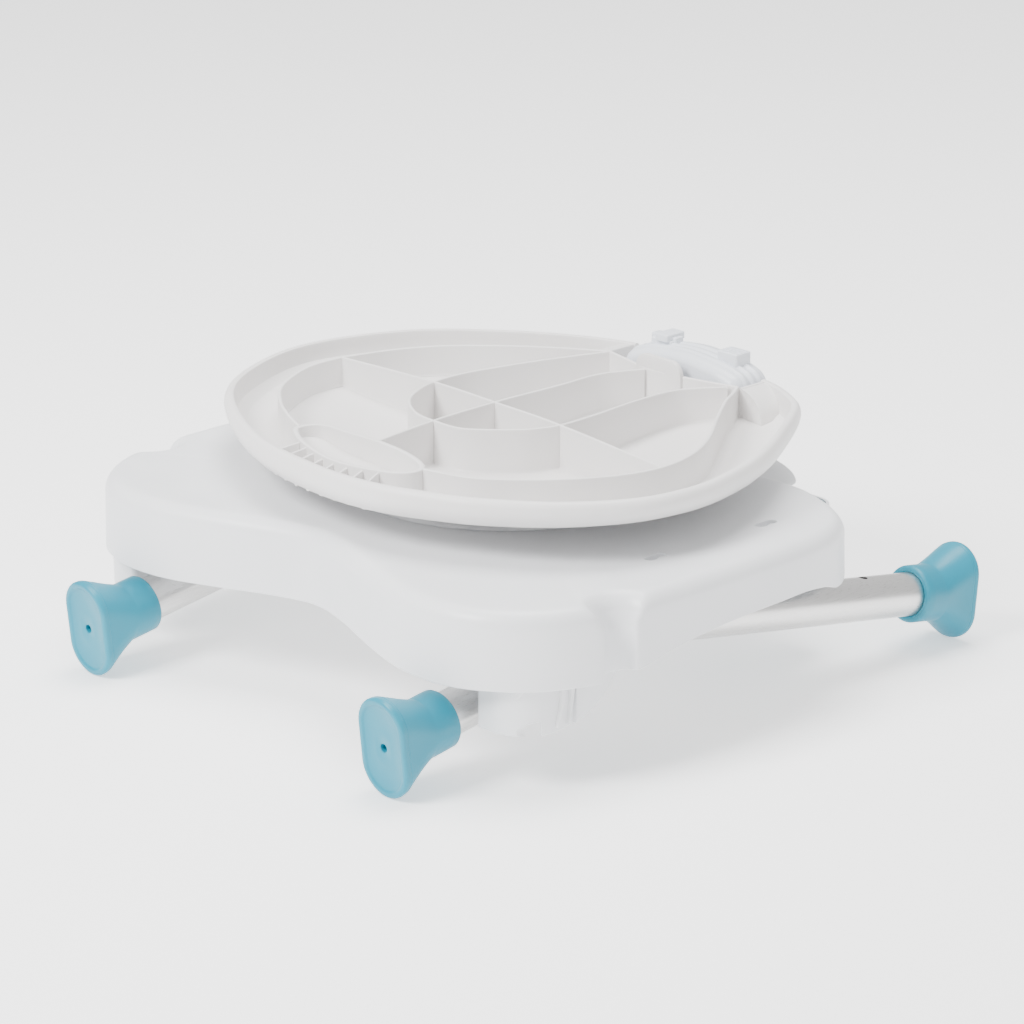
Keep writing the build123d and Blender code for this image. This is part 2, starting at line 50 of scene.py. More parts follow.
# ------------------------------------------------------------------ shape helpers


def resample(points, count, closed=False):
    """Evenly spaced points along a polyline."""
    p = np.asarray(points, float)
    if closed:
        p = np.vstack([p, p[:1]])
    run = np.r_[0, np.cumsum(np.linalg.norm(np.diff(p, axis=0), axis=1))]
    t = np.linspace(0, run[-1], count, endpoint=not closed)
    return np.column_stack([np.interp(t, run, p[:, k]) for k in range(p.shape[1])])


def curve_through(points, count, closed=False):
    """Evenly spaced points on a smooth curve through the given ones."""
    p = np.asarray(points, float)
    m = len(p)
    out = []
    for i in range(m if closed else m - 1):
        if closed:
            a, b, c, d = (p[(i + k) % m] for k in (-1, 0, 1, 2))
        else:
            a, b, c, d = (p[min(max(i + k, 0), m - 1)] for k in (-1, 0, 1, 2))
        for t in np.linspace(0, 1, 16, endpoint=False):
            bend = (2 * a - 5 * b + 4 * c - d) * t**2 + (3 * b - a - 3 * c + d) * t**3
            out.append(0.5 * (2 * b + (c - a) * t + bend))
    if not closed:
        out.append(p[-1])
    return resample(out, count, closed)


def normals(path, closed=False):
    """Unit normals on the right-hand side of a plan path."""
    if closed:
        t = np.roll(path, -1, axis=0) - np.roll(path, 1, axis=0)
    else:
        t = np.gradient(path, axis=0)
    t = t / np.maximum(np.linalg.norm(t, axis=1, keepdims=True), 1e-9)
    return np.column_stack([t[:, 1], -t[:, 0]])


def make_object(name, verts, faces):
    """Mesh object from millimetre vertices, smooth shaded with crisp folds."""
    mesh = bpy.data.meshes.new(name)
    mesh.from_pydata([tuple(v) for v in np.asarray(verts) * MM], [], [tuple(f) for f in faces])
    bm = bmesh.new()
    bm.from_mesh(mesh)
    bmesh.ops.remove_doubles(bm, verts=bm.verts, dist=1e-6)
    bmesh.ops.recalc_face_normals(bm, faces=bm.faces)
    bm.to_mesh(mesh)
    bm.free()
    obj = bpy.data.objects.new(name, mesh)
    bpy.context.scene.collection.objects.link(obj)
    smooth(obj)
    return obj


def smooth(obj, angle=38):
    """Smooth shading that keeps edges sharper than the angle."""
    mesh = obj.data
    mesh.polygons.foreach_set("use_smooth", [True] * len(mesh.polygons))
    bm = bmesh.new()
    bm.from_mesh(mesh)
    for e in bm.edges:
        e.smooth = not (len(e.link_faces) == 2 and e.calc_face_angle(0) > radians(angle))
    bm.to_mesh(mesh)
    bm.free()


def grid(rings, closed=True, caps=(False, False), loop=False):
    """Vertices and faces of a lofted surface; every ring has the same number of points."""
    rings = np.asarray(rings, float)
    rows, n, _ = rings.shape
    verts = rings.reshape(-1, 3)
    faces = []
    for i in range(rows if loop else rows - 1):
        a, b = i * n, ((i + 1) % rows) * n
        for j in range(n if closed else n - 1):
            k = (j + 1) % n
            faces.append((a + j, a + k, b + k, b + j))
    if caps[0]:
        faces.append(tuple(range(n)))
    if caps[1]:
        faces.append(tuple((rows - 1) * n + j for j in range(n))[::-1])
    return verts, faces


def loft(name, rings, **kw):
    return make_object(name, *grid(rings, **kw))


def join(name, parts):
    """Merges several mesh objects into the first one, under a new name."""
    verts, faces = [], []
    sharp = []
    for part in parts:
        base = len(verts)
        verts += [tuple(v.co) for v in part.data.vertices]
        faces += [tuple(base + i for i in f.vertices) for f in part.data.polygons]
        for e in part.data.edges:
            if e.use_edge_sharp:
                sharp.append((base + e.vertices[0], base + e.vertices[1]))
    mesh = bpy.data.meshes.new(name)
    mesh.from_pydata(verts, [], faces)
    mesh.polygons.foreach_set("use_smooth", [True] * len(mesh.polygons))
    keys = {tuple(sorted(s)) for s in sharp}
    for e in mesh.edges:
        e.use_edge_sharp = tuple(sorted(e.vertices)) in keys
    for part in parts:
        bpy.data.objects.remove(part)
    obj = bpy.data.objects.new(name, mesh)
    bpy.context.scene.collection.objects.link(obj)
    return obj


def inside(poly, pts):
    """Which plan points lie inside a closed polyline."""
    x, y = pts[:, 0], pts[:, 1]
    hit = np.zeros(len(pts), bool)
    a, b = poly, np.roll(poly, -1, axis=0)
    for (x0, y0), (x1, y1) in zip(a, b):
        if y0 == y1:
            continue
        hit ^= ((y0 > y) != (y1 > y)) & (x < (x1 - x0) * (y - y0) / (y1 - y0) + x0)
    return hit


def sheet(name, outline, top, bottom, holes=(), step=8.0):
    """Closed plate with any plan outline and holes; top and bottom give its heights at plan points."""
    loops = [np.asarray(outline, float)] + [np.asarray(h, float) for h in holes]
    lo, hi = loops[0].min(0), loops[0].max(0)
    gx, gy = np.meshgrid(np.arange(lo[0], hi[0], step), np.arange(lo[1], hi[1], step))
    grid_pts = np.column_stack([gx.ravel(), gy.ravel()])
    keep = inside(loops[0], grid_pts)
    for hole in loops[1:]:
        keep &= ~inside(hole, grid_pts)
    rim = np.vstack(loops)
    grid_pts = grid_pts[keep]
    gap = np.array([np.min(np.sum((rim - g) ** 2, axis=1)) for g in grid_pts])
    grid_pts = grid_pts[gap > (0.45 * step) ** 2]
    pts = np.vstack([rim, grid_pts])
    edges, base = [], 0
    for loop in loops:
        edges += [(base + i, base + (i + 1) % len(loop)) for i in range(len(loop))]
        base += len(loop)
    out, _, tris, *_ = delaunay_2d_cdt([Vector(p) for p in pts], edges, [], 0, 1e-5)
    out = np.array([tuple(v) for v in out])
    tris = np.array(tris)
    mid = out[tris].mean(axis=1)
    keep = inside(loops[0], mid)
    for hole in loops[1:]:
        keep &= ~inside(hole, mid)
    tris = tris[keep]
    n = len(out)
    verts = np.vstack([np.column_stack([out, top(out)]), np.column_stack([out, bottom(out)])])
    faces = [tuple(t) for t in tris] + [tuple(n + i for i in t[::-1]) for t in tris]
    count = {}
    for t in tris:
        for a, b in ((t[0], t[1]), (t[1], t[2]), (t[2], t[0])):
            count[(a, b)] = count.get((a, b), 0) + 1
    for a, b in count:
        if (b, a) not in count:
            faces.append((a, n + a, n + b, b))
    return make_object(name, verts, faces)


def ribbon(name, path, floor, top, width, closed=False, flare=1.6, draft=0.25):
    """Thin upright wall along a plan path, with a rounded crest and a fillet at its foot."""
    path = np.asarray(path, float)
    nor = normals(path, closed)
    low = floor(path)
    high = np.broadcast_to(top, low.shape)
    half = width / 2
    profile = [
        (half + draft, -1.5, 0),
        (half + draft + flare, 0.05, 0),
        (half + draft + 0.35 * flare, 0.45 * flare, 0),
        (half + draft, 1.4 * flare, 0),
        (half, -1.1, 1),
        (half - 0.25, -0.45, 1),
        (half - 0.7, -0.08, 1),
        (0.0, 0.0, 1),
    ]
    sides = profile + [(-o, z, k) for o, z, k in profile[-2::-1]]
    rings = []
    for o, dz, upper in sides:
        z = (high if upper else low) + dz
        rings.append(np.column_stack([path + nor * o, z]))
    rings = np.array(rings).transpose(1, 0, 2)
    return loft(name, rings, closed=True, caps=(not closed, not closed), loop=closed)


def rounded_rect(x0, x1, y0, y1, r, per=7):
    """Plan outline of a rectangle with round corners."""
    pts = []
    corners = ((x1 - r, y1 - r, 0), (x0 + r, y1 - r, 90), (x0 + r, y0 + r, 180), (x1 - r, y0 + r, 270))
    for cx, cy, a in corners:
        for t in np.radians(np.linspace(a, a + 90, per)):
            pts.append((cx + r * cos(t), cy + r * sin(t)))
    return np.array(pts)


def soft_block(name, x0, x1, y0, y1, z0, z1, corner, edge):
    """Block with rounded upright corners and a rounded top edge."""
    levels = [(z0, 0), (z1 - edge, 0)]
    levels += [(z1 - edge + edge * sin(a), edge * (1 - cos(a))) for a in np.radians((25, 50, 75, 90))]
    rings = []
    for z, inset in levels:
        o = rounded_rect(x0 + inset, x1 - inset, y0 + inset, y1 - inset, max(corner - inset, 0.3))
        rings.append(np.column_stack([o, np.full(len(o), z)]))
    return loft(name, rings, caps=(True, True))


def rod(name, radius, start, end, sides=32, edge=0.4):
    """Round bar between two points with softened ends."""
    a, b = Vector(start), Vector(end)
    z = (b - a).normalized()
    x = z.orthogonal().normalized()
    y = z.cross(x)
    length = (b - a).length
    turn = np.linspace(0, 2 * pi, sides, endpoint=False)
    rings = []
    for t, r in ((0, radius - edge), (edge, radius), (length - edge, radius), (length, radius - edge)):
        c = a + z * t
        rings.append([tuple(c + x * (r * cos(u)) + y * (r * sin(u))) for u in turn])
    return loft(name, rings, caps=(True, True))


def boolean(obj, cutter, operation="DIFFERENCE"):
    """Applies a boolean with a cutter, which is then removed."""
    mod = obj.modifiers.new("cut", "BOOLEAN")
    mod.operation = operation
    mod.object = cutter
    mod.solver = "EXACT"
    bpy.context.view_layer.update()
    mesh = bpy.data.meshes.new_from_object(obj.evaluated_get(bpy.context.evaluated_depsgraph_get()))
    obj.modifiers.clear()
    obj.data = mesh
    bpy.data.objects.remove(cutter)
    smooth(obj)


# ------------------------------------------------------------------ materials


def node_material(name):
    mat = bpy.data.materials.new(name)
    mat.use_nodes = True
    nt = mat.node_tree
    return mat, nt, nt.nodes["Principled BSDF"]


def noise(nt, coords, scale, detail=3.0, rough=0.55, stretch=None):
    """Noise in object space; stretch scales each axis."""
    source = coords
    if stretch:
        mapping = nt.nodes.new("ShaderNodeMapping")
        mapping.inputs["Scale"].default_value = stretch
        nt.links.new(coords, mapping.inputs["Vector"])
        source = mapping.outputs["Vector"]
    tex = nt.nodes.new("ShaderNodeTexNoise")
    tex.inputs["Scale"].default_value = scale
    tex.inputs["Detail"].default_value = detail
    tex.inputs["Roughness"].default_value = rough
    nt.links.new(source, tex.inputs["Vector"])
    return tex.outputs["Fac"]


def ramp(nt, fac, stops):
    node = nt.nodes.new("ShaderNodeValToRGB")
    el = node.color_ramp.elements
    while len(el) < len(stops):
        el.new(0.5)
    for e, (pos, col) in zip(el, stops):
        e.position = pos
        e.color = (*col, 1)
    nt.links.new(fac, node.inputs["Fac"])
    return node.outputs["Color"]


def span(nt, value, lo, hi, out_lo, out_hi):
    node = nt.nodes.new("ShaderNodeMapRange")
    for socket, number in zip(("From Min", "From Max", "To Min", "To Max"), (lo, hi, out_lo, out_hi)):
        node.inputs[socket].default_value = number
    nt.links.new(value, node.inputs["Value"])
    return node.outputs["Result"]


def mix(nt, fac, a, b, blend="MIX"):
    node = nt.nodes.new("ShaderNodeMix")
    node.data_type = "RGBA"
    node.blend_type = blend
    nt.links.new(fac, node.inputs["Factor"])
    for value, socket in ((a, node.inputs["A"]), (b, node.inputs["B"])):
        if isinstance(value, tuple):
            socket.default_value = (*value, 1)
        else:
            nt.links.new(value, socket)
    return node.outputs["Result"]


def bump(nt, height, strength, distance, normal=None):
    node = nt.nodes.new("ShaderNodeBump")
    node.inputs["Strength"].default_value = strength
    node.inputs["Distance"].default_value = distance
    nt.links.new(height, node.inputs["Height"])
    if normal is not None:
        nt.links.new(normal, node.inputs["Normal"])
    return node.outputs["Normal"]


def moulded(name, base, shade, scuff, rough, grain=900.0, grain_depth=0.00004, waviness=0.0002):
    """Moulded plastic or rubber: cloudy tint, fine grain, slow sink marks and rubbed edges."""
    mat, nt, bsdf = node_material(name)
    coords = nt.nodes.new("ShaderNodeTexCoord").outputs["Object"]
    cloud = noise(nt, coords, 7.0, 4.0)
    col = ramp(nt, cloud, [(0.34, shade), (0.66, base)])
    speck = noise(nt, coords, 260.0, 2.0)
    col = mix(nt, span(nt, speck, 0.62, 0.82, 0.0, 0.35), col, shade)
    edge = nt.nodes.new("ShaderNodeNewGeometry").outputs["Pointiness"]
    rub = noise(nt, coords, 55.0, 5.0, 0.7)
    worn = nt.nodes.new("ShaderNodeMath")
    worn.operation = "MULTIPLY"
    nt.links.new(span(nt, edge, 0.52, 0.6, 0.0, 1.0), worn.inputs[0])
    nt.links.new(span(nt, rub, 0.42, 0.62, 0.0, 0.8), worn.inputs[1])
    col = mix(nt, worn.outputs[0], col, scuff)
    nt.links.new(col, bsdf.inputs["Base Color"])
    smudge = noise(nt, coords, 34.0, 5.0, 0.62)
    nt.links.new(span(nt, smudge, 0.3, 0.7, rough - 0.05, rough + 0.07), bsdf.inputs["Roughness"])
    slow = bump(nt, noise(nt, coords, 11.0, 1.5), 0.6, waviness)
    nt.links.new(bump(nt, noise(nt, coords, grain, 2.0), 0.5, grain_depth, slow), bsdf.inputs["Normal"])
    bsdf.inputs["IOR"].default_value = 1.46
    bsdf.inputs["Specular IOR Level"].default_value = 0.5
    return mat


def drawn_metal(name, base, shade, rough, stretch):
    """Satin drawn or plated metal with fine lines and faint stains."""
    mat, nt, bsdf = node_material(name)
    coords = nt.nodes.new("ShaderNodeTexCoord").outputs["Object"]
    lines = noise(nt, coords, 1.0, 4.0, 0.7, stretch)
    stain = noise(nt, coords, 18.0, 4.0)
    col = ramp(nt, lines, [(0.3, shade), (0.7, base)])
    col = mix(nt, span(nt, stain, 0.55, 0.75, 0.0, 0.3), col, shade)
    nt.links.new(col, bsdf.inputs["Base Color"])
    nt.links.new(span(nt, lines, 0.3, 0.7, rough - 0.05, rough + 0.08), bsdf.inputs["Roughness"])
    nt.links.new(bump(nt, lines, 0.25, 0.00003), bsdf.inputs["Normal"])
    bsdf.inputs["Metallic"].default_value = 1.0
    return mat


DECK_MAT = moulded("deck_white", (0.80, 0.81, 0.825), (0.765, 0.775, 0.795), (0.86, 0.86, 0.86), 0.36)
COVER_MAT = moulded("cover_white", (0.79, 0.775, 0.765), (0.755, 0.735, 0.725), (0.86, 0.85, 0.84), 0.42)
BRIDGE_MAT = moulded("bridge_white", (0.76, 0.79, 0.84), (0.72, 0.75, 0.80), (0.85, 0.87, 0.9), 0.32)
HOUSING_MAT = moulded("housing_white", (0.775, 0.785, 0.80), (0.74, 0.75, 0.765), (0.85, 0.85, 0.85), 0.38)
TEAL_MAT = moulded("teal_plastic", (0.0, 0.24, 0.33), (0.0, 0.21, 0.29), (0.03, 0.33, 0.42), 0.35)
RUBBER_MAT = moulded(
    "foot_rubber", (0.0, 0.23, 0.33), (0.0, 0.20, 0.295), (0.06, 0.34, 0.44), 0.34, 520.0, 0.00006, 0.0003
)
DARK_MAT = moulded("dark_plastic", (0.06, 0.06, 0.065), (0.035, 0.035, 0.04), (0.15, 0.15, 0.15), 0.5)
ALU_MAT = drawn_metal("satin_aluminium", (0.78, 0.77, 0.76), (0.66, 0.65, 0.64), 0.30, (25.0, 1400.0, 1400.0))
STEEL_MAT = drawn_metal("plated_steel", (0.50, 0.50, 0.51), (0.36, 0.36, 0.37), 0.32, (400.0, 400.0, 400.0))


def finish_piece(obj, mat, body, slot, *nodes):
    """Moves a new piece from the seat ring's axis to the origin and gives it material and body. Its slot
    argument is not used.
    """
    obj.data.transform(Matrix.Translation((RING_X * MM, 0, 0)))
    obj.data.materials.clear()
    obj.data.materials.append(mat)
    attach(obj, body)
    if nodes:
        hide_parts(*nodes)


# ------------------------------------------------------------------ deck

DECK_TOP = 150.0
DECK_CROWN = 151.9
SHOULDER_Z = 138.0
SKIRT_Z = 88.0
DECK_HALF = [
    (-219, 0),
    (-228, -42),
    (-249, -100),
    (-263, -150),
    (-264, -198),
    (-249, -240),
    (-213, -274),
    (-160, -293),
    (-100, -297),
    (-40, -298),
    (40, -297),
    (92, -292),
    (126, -277),
    (148, -251),
    (163, -218),
    (171, -185),
    (171.5, -110),
    (171.5, -50),
]
RECESSES = ((-155.0, -294.0), (-155.0, 294.0))
SHOULDER = 14.0
SHOULDER_START = 1.2
OPENING_R = 128.0
SLOTS = ((-53.0, -230.0), (-53.0, 230.0), (73.0, -235.0), (73.0, 235.0))
SLOT_HALF_X = 11.0
SLOT_HALF_Y = 4.6
SLOT_CORNER = 4.5
# lower edge of the skirt along the sides, from front to rear
SIDE_EDGE_X = [-300, -175, -150, -128, -105, -70, -20, 60, 88, 98, 108, 122, 130, 140, 400]
SIDE_EDGE_Z = [88, 88, 89.5, 93, 99, 104.5, 108, 109.5, 106, 100.5, 98.5, 99, 103, 106, 106]
# points on the deck's loop before, in, between and after the recesses
END_POINTS = 110
ARC_POINTS = 44
MIDDLE_POINTS = 300


def deck_outline():
    left = [(x, -y) for x, y in reversed(DECK_HALF[1:])]
    return curve_through(DECK_HALF + left, 1600, closed=True)


BASE = deck_outline()
BASE_N = normals(BASE, closed=True)


def carve(loop, radius):
    """Deck outline with both recesses taken out, always with the same number of points."""
    cuts = []
    for cx, cy in RECESSES:
        c = np.array([cx, cy])
        idx = np.where(np.linalg.norm(loop - c, axis=1) < radius)[0]
        inward = atan2(-cy, 0.0)
        turns = []
        for px, py in (loop[idx[0]], loop[idx[-1]]):
            turns.append((atan2(py - cy, px - cx) - inward + pi) % (2 * pi) - pi)
        # the arc runs through the side that faces the middle of the deck
        angles = inward + np.linspace(turns[0], turns[1], ARC_POINTS)
        arc = np.column_stack([cx + radius * np.cos(angles), cy + radius * np.sin(angles)])
        cuts.append((idx[0], idx[-1], arc))
    (i0, i1, arc_r), (j0, j1, arc_l) = cuts
    parts = [
        resample(loop[:i0], END_POINTS)[:-1],
        arc_r,
        resample(loop[i1 + 1 : j0], MIDDLE_POINTS)[1:-1],
        arc_l,
        resample(np.vstack([loop[j1 + 1 :], loop[:1]]), END_POINTS)[1:-1],
    ]
    out = np.vstack(parts)
    near = np.zeros(len(out), bool)
    for seam in np.cumsum([len(part) for part in parts])[:-1]:
        near[seam - 3 : seam + 3] = True
    for _ in range(5):
        soft = 0.25 * np.roll(out, 1, axis=0) + 0.5 * out + 0.25 * np.roll(out, -1, axis=0)
        out[near] = soft[near]
    return out


def skirt_bottom(p):
    """Height of the skirt's lower edge at plan points."""
    x, y = p[:, 0], np.abs(p[:, 1])
    side = np.interp(x, SIDE_EDGE_X, SIDE_EDGE_Z)
    front = np.full(len(x), SKIRT_Z) + 1.5 * np.cos(y / 60.0)
    blend = np.clip((y - 200) / 40, 0, 1)
    value = np.where(x > 120, side, side * blend + front * (1 - blend))
    for _ in range(6):
        value = 0.25 * np.roll(value, 1) + 0.5 * value + 0.25 * np.roll(value, -1)
    return value


def recess_radius(z):
    """Half-round recess: narrower at the foot, opening like a funnel at the top."""
    rise = (z - SKIRT_Z) / (DECK_TOP - SKIRT_Z)
    return 14.5 + 7.0 * rise + 3.5 * max(0.0, (z - 136) / 14) ** 2


def deck_ring(inset, z=None, grow=0.0, lift=0.0, blend=0.0):
    """One loop of the deck at an inset, level at z or part of the way up from the lower edge."""
    loop = BASE - BASE_N * inset
    out = carve(loop, recess_radius(96.0 if z is None else z) + grow)
    if z is None:
        edge = skirt_bottom(out)
        heights = edge + (136.0 - edge) * blend + lift
    else:
        heights = np.full(len(out), z)
    return np.column_stack([out, heights])


def dish(t, p):
    """Height of the deck's top, from its shoulder at 0 to the opening at 1."""
    valley = 1.9 - 2.3 * sin(pi * t**0.8) ** 2 - 1.9 * t**3
    return np.full(len(p), DECK_TOP + valley)


def build_deck():
    """Thick shell: skirt, rounded shoulder, dished top down to the opening, and the inner face back."""
    rings = [deck_ring(3.0, lift=0.4, grow=3.0), deck_ring(2.2, grow=2.2), deck_ring(0.8, grow=0.8)]
    rings.append(deck_ring(0.1, lift=0.7, grow=0.1))
    for blend in (0.1, 0.35, 0.65, 0.9):
        rings.append(deck_ring(0.25 + blend, blend=blend))
    for a in np.radians(np.linspace(0, 90, 10)):
        roll = (SHOULDER - SHOULDER_START) * (1 - cos(a))
        z = SHOULDER_Z + (DECK_CROWN - SHOULDER_Z) * sin(a)
        rings.append(deck_ring(SHOULDER_START + roll, z=z, grow=0.55 * roll))
    edge = rings[-1]
    angle = np.arctan2(edge[:, 1], edge[:, 0])
    circle = np.column_stack([OPENING_R * np.cos(angle), OPENING_R * np.sin(angle)])
    for t in (0.03, 0.07, 0.13, 0.2, 0.3, 0.4, 0.5, 0.6, 0.7, 0.8, 0.88, 0.94, 0.99, 1.0):
        p = edge[:, :2] * (1 - t) + circle * t
        rings.append(np.column_stack([p, dish(t, p) - (0.8 if t == 1.0 else 0)]))
    for t in (1.0, 0.7, 0.3, 0.06):
        p = edge[:, :2] * (1 - t) + circle * t
        rings.append(np.column_stack([p, dish(t, p) - 3.2]))
    rings.append(deck_ring(6.0, z=143.0, grow=6.0))
    rings.append(deck_ring(3.6, z=134.0, grow=3.4))
    return loft("deck_top", rings, loop=True)


def slot_pocket(x, y):
    """Cutter of one oblong slot whose floor ramps up to the rear."""
    rings = []
    for z, grow in ((154.0, 1.4), (150.6, 0.9), (149.4, 0.2), (148.6, 0.0)):
        dx, dy = SLOT_HALF_X + grow, SLOT_HALF_Y + grow
        g = rounded_rect(x - dx, x + dx, y - dy, y + dy, SLOT_CORNER + grow, 9)
        rings.append(np.column_stack([g, np.full(len(g), z)]))
    depth = np.interp(g[:, 0], [x - SLOT_HALF_X, x - 6, x + SLOT_HALF_X], [138.5, 138.5, 147.6])
    rings.append(np.column_stack([g, depth]))
    return loft("slot_cutter", rings, caps=(True, True))


def build_slots(deck):
    """Adds a closed well under each toy slot and cuts the slot into it."""
    dx, dy = SLOT_HALF_X + 3, SLOT_HALF_Y + 3
    for x, y in SLOTS:
        well = soft_block("slot_well", x - dx, x + dx, y - dy, y + dy, 135.5, 148.7, 7.4, 0.4)
        boolean(deck, well, "UNION")
        boolean(deck, slot_pocket(x, y))


def build_lobe():
    """Rear lobe that carries the bridge: thin brim with a wall set back under it."""
    half = [(150, 150), (188, 157.5), (206, 149), (226, 119), (242, 72), (249, 24)]
    left = curve_through(half, 60)
    right = left[::-1] * np.array([1, -1])
    loop = np.vstack([left, right[1:]])
    loop = np.vstack([loop, resample([loop[-1], loop[0]], 40)[1:-1]])
    parts = []
    rings = []
    middle = loop.mean(0)
    for inset, z in ((1.2, 137.0), (0.3, 137.5), (0.0, 138.4), (0.3, 139.4), (1.2, 140.0)):
        k = 1 - inset / 60.0
        rings.append(np.column_stack([middle + (loop - middle) * k, np.full(len(loop), z)]))
    parts.append(loft("brim", rings, caps=(True, True)))
    wall = [(170, 142), (184, 142), (200, 128), (216, 102), (228, 62), (234, 20)]
    wall = curve_through(wall + [(x, -y) for x, y in reversed(wall)], 140)
    rings = []
    nw = normals(wall)
    for o, z in ((1.5, 138.0), (1.5, 107.0), (0.9, 106.0), (-0.9, 106.0), (-1.5, 107.0), (-1.5, 138.0)):
        rings.append(np.column_stack([wall + nw * o, np.full(len(wall), z)]))
    parts.append(loft("lobe_wall", np.array(rings).transpose(1, 0, 2), caps=(True, True)))
    for y in (-50.0, 50.0):
        parts.append(rod("boss", 5.5, (222, y, 120.0), (222, y, 138.0)))
    return join("deck_rear_lobe", parts)


# ------------------------------------------------------------------ seat ring


RIDGE_HALF = radians(34)
RIDGE_TALL = 4.6


def build_ring():
    """Turned ring with four long ridges on its flange."""
    n = 480
    th = np.linspace(0, 2 * pi, n, endpoint=False)
    rise = np.zeros(n)
    for start in range(135, 495, 90):
        centre = radians(start + 34)
        off = np.abs((th - centre + pi) % (2 * pi) - pi)
        rise = np.maximum(rise, np.clip((RIDGE_HALF - off) / radians(5), 0, 1))
    rise = rise * rise * (3 - 2 * rise)
    # radius, height, share of the ridge
    profile = [
        (122.0, 140.6, 0),
        (122.0, 149.5, 0),
        (118.4, 150.4, 0),
        (118.0, 151.5, 0),
        (118.0, 163.6, 0),
        (118.6, 164.4, 0),
        (120.4, 164.4, 0),
        (121.0, 163.6, 0),
        (121.2, 155.0, 0),
        (123.0, 153.6, 0),
        (129.0, 153.4, 0),
        (131.0, 153.4, 0.02),
        (132.6, 153.4, 0.5),
        (134.0, 153.4, 0.88),
        (136.0, 153.4, 1.0),
        (138.4, 153.3, 0.88),
        (140.2, 153.0, 0.5),
        (141.6, 152.2, 0.1),
        (142.0, 151.4, 0),
        (141.4, 150.5, 0),
        (127.5, 150.5, 0),
        (127.2, 149.6, 0),
        (127.2, 141.0, 0),
        (126.6, 140.5, 0),
        (122.6, 140.5, 0),
    ]
    rings = []
    for r, z, k in profile:
        rings.append(np.column_stack([r * np.cos(th), r * np.sin(th), z + RIDGE_TALL * k * rise]))
    return loft("seat_ring_body", rings, loop=True)


# ------------------------------------------------------------------ cover

COVER_AT = (21.0, 18.0)
COVER_YAW = radians(-2.2)
COVER_TOP = 205.0


def from_cover(points):
    """Plan points in the cover's own frame, set on the stand."""
    x, y = np.asarray(points, float).T
    c, s = cos(COVER_YAW), sin(COVER_YAW)
    return np.column_stack([COVER_AT[0] + x * c - y * s, COVER_AT[1] + x * s + y * c])


def traced(points):
    """Rib points measured in a frame set slightly off the cover's own."""
    return from_cover(np.asarray(points, float) - np.array([1.5, 3.0]))


def floor_z(p):
    """Height of the cover's domed inner face."""
    d = p - np.array(COVER_AT)
    return 165.5 + (d**2).sum(axis=1) / 3700.0


COVER_OUTLINE = [
    (-230, -8),
    (-213, 92),
    (-152, 205),
    (-76, 261),
    (6, 281),
    (99, 255),
    (163, 198),
    (206, 136),
    (229, 80),
    (239, 20),
    (238, -40),
    (230, -95),
    (212, -138),
    (190, -165),
    (135, -203),
    (79, -236),
    (23, -257),
    (-30, -267),
    (-88, -259),
    (-143, -225),
    (-183, -178),
    (-206, -135),
    (-226, -79),
]
RING_FAR = [(190, 77), (172, 105), (140, 145), (95, 187), (50, 211), (-4, 224)]
RING_FRONT = [(-4, 224), (-38, 222), (-70, 209), (-105, 185), (-134, 148), (-153, 112), (-164, 85)]
RING_NEAR = [
    (-163, -77),
    (-152, -114),
    (-135, -139),
    (-99, -171),
    (-55, -195),
    (-14, -203),
    (26, -195),
    (68, -173),
    (118, -134),
    (156, -105),
    (178, -92),
    (196, -80),
]
CROSS = [(-4, 224), (7, 113), (6, 20), (3, -59), (-14, -203)]
LEAF = [
    (190, 77),
    (131, 95),
    (82, 106),
    (44, 112),
    (6, 109),
    (-24, 97),
    (-47, 79),
    (-65, 49),
    (-69, 19),
    (-65, -14),
    (-35, -45),
    (-16, -56),
    (6, -61),
    (50, -58),
    (104, -51),
    (150, -52),
    (189, -74),
]
SPINE = [(-140, 8), (-67, 21), (6, 27), (83, 28), (132, 30), (173, 15)]
CHORD = [(190, 77), (183, 45), (177, 16), (178, -5), (182, -27), (188, -52), (196, -80)]
LENS = [
    (-166, 84),
    (-146, 76),
    (-143, 44),
    (-141, 6),
    (-145, -34),
    (-156, -66),
    (-170, -76),
    (-186, -66),
    (-199, -30),
    (-201, 0),
    (-193, 36),
    (-181, 66),
]
# bay that clears the bridge: its front edge, and its half width on the right and the left
BAY_X = 210.0
BAY_Y = {-1: 75.0, 1: 86.0}


def cover_rim_path():
    """Open path along the outline, from one side of the bay to the other."""
    loop = from_cover(curve_through(COVER_OUTLINE, 900, closed=True))
    bay = (loop[:, 0] > BAY_X) & (loop[:, 1] > -BAY_Y[-1]) & (loop[:, 1] < BAY_Y[1])
    first = np.where(bay & ~np.roll(bay, 1))[0][0]
    loop = np.roll(loop, -first, axis=0)
    bay = np.roll(bay, -first)
    return resample(loop[~bay], 560)


RIM_PROFILE = [
    # distance outwards from the outline, share of the wall's height, extra height
    (-24.0, 0.0, -2.6),
    (-16.0, 0.0, -2.4),
    (-10.5, 0.0, -0.9),
    (-6.2, 0.08, 0.0),
    (-3.0, 0.22, 0.0),
    (-1.0, 0.40, 0.0),
    (0.0, 0.60, 0.0),
    (-0.4, 0.76, 0.0),
    (-1.7, 0.90, 0.0),
    (-3.2, 0.975, 0.0),
    (-4.6, 1.0, 0.0),
    (-7.4, 1.0, 0.0),
    (-8.6, 0.975, 0.0),
    (-9.1, 0.92, 0.0),
    (-8.9, 0.60, 0.0),
    (-9.3, 0.30, 0.0),
    (-10.6, 0.12, 0.0),
    (-13.5, 0.02, 0.6),
    (-18.0, 0.0, 0.15),
    (-24.0, 0.0, -0.2),
]


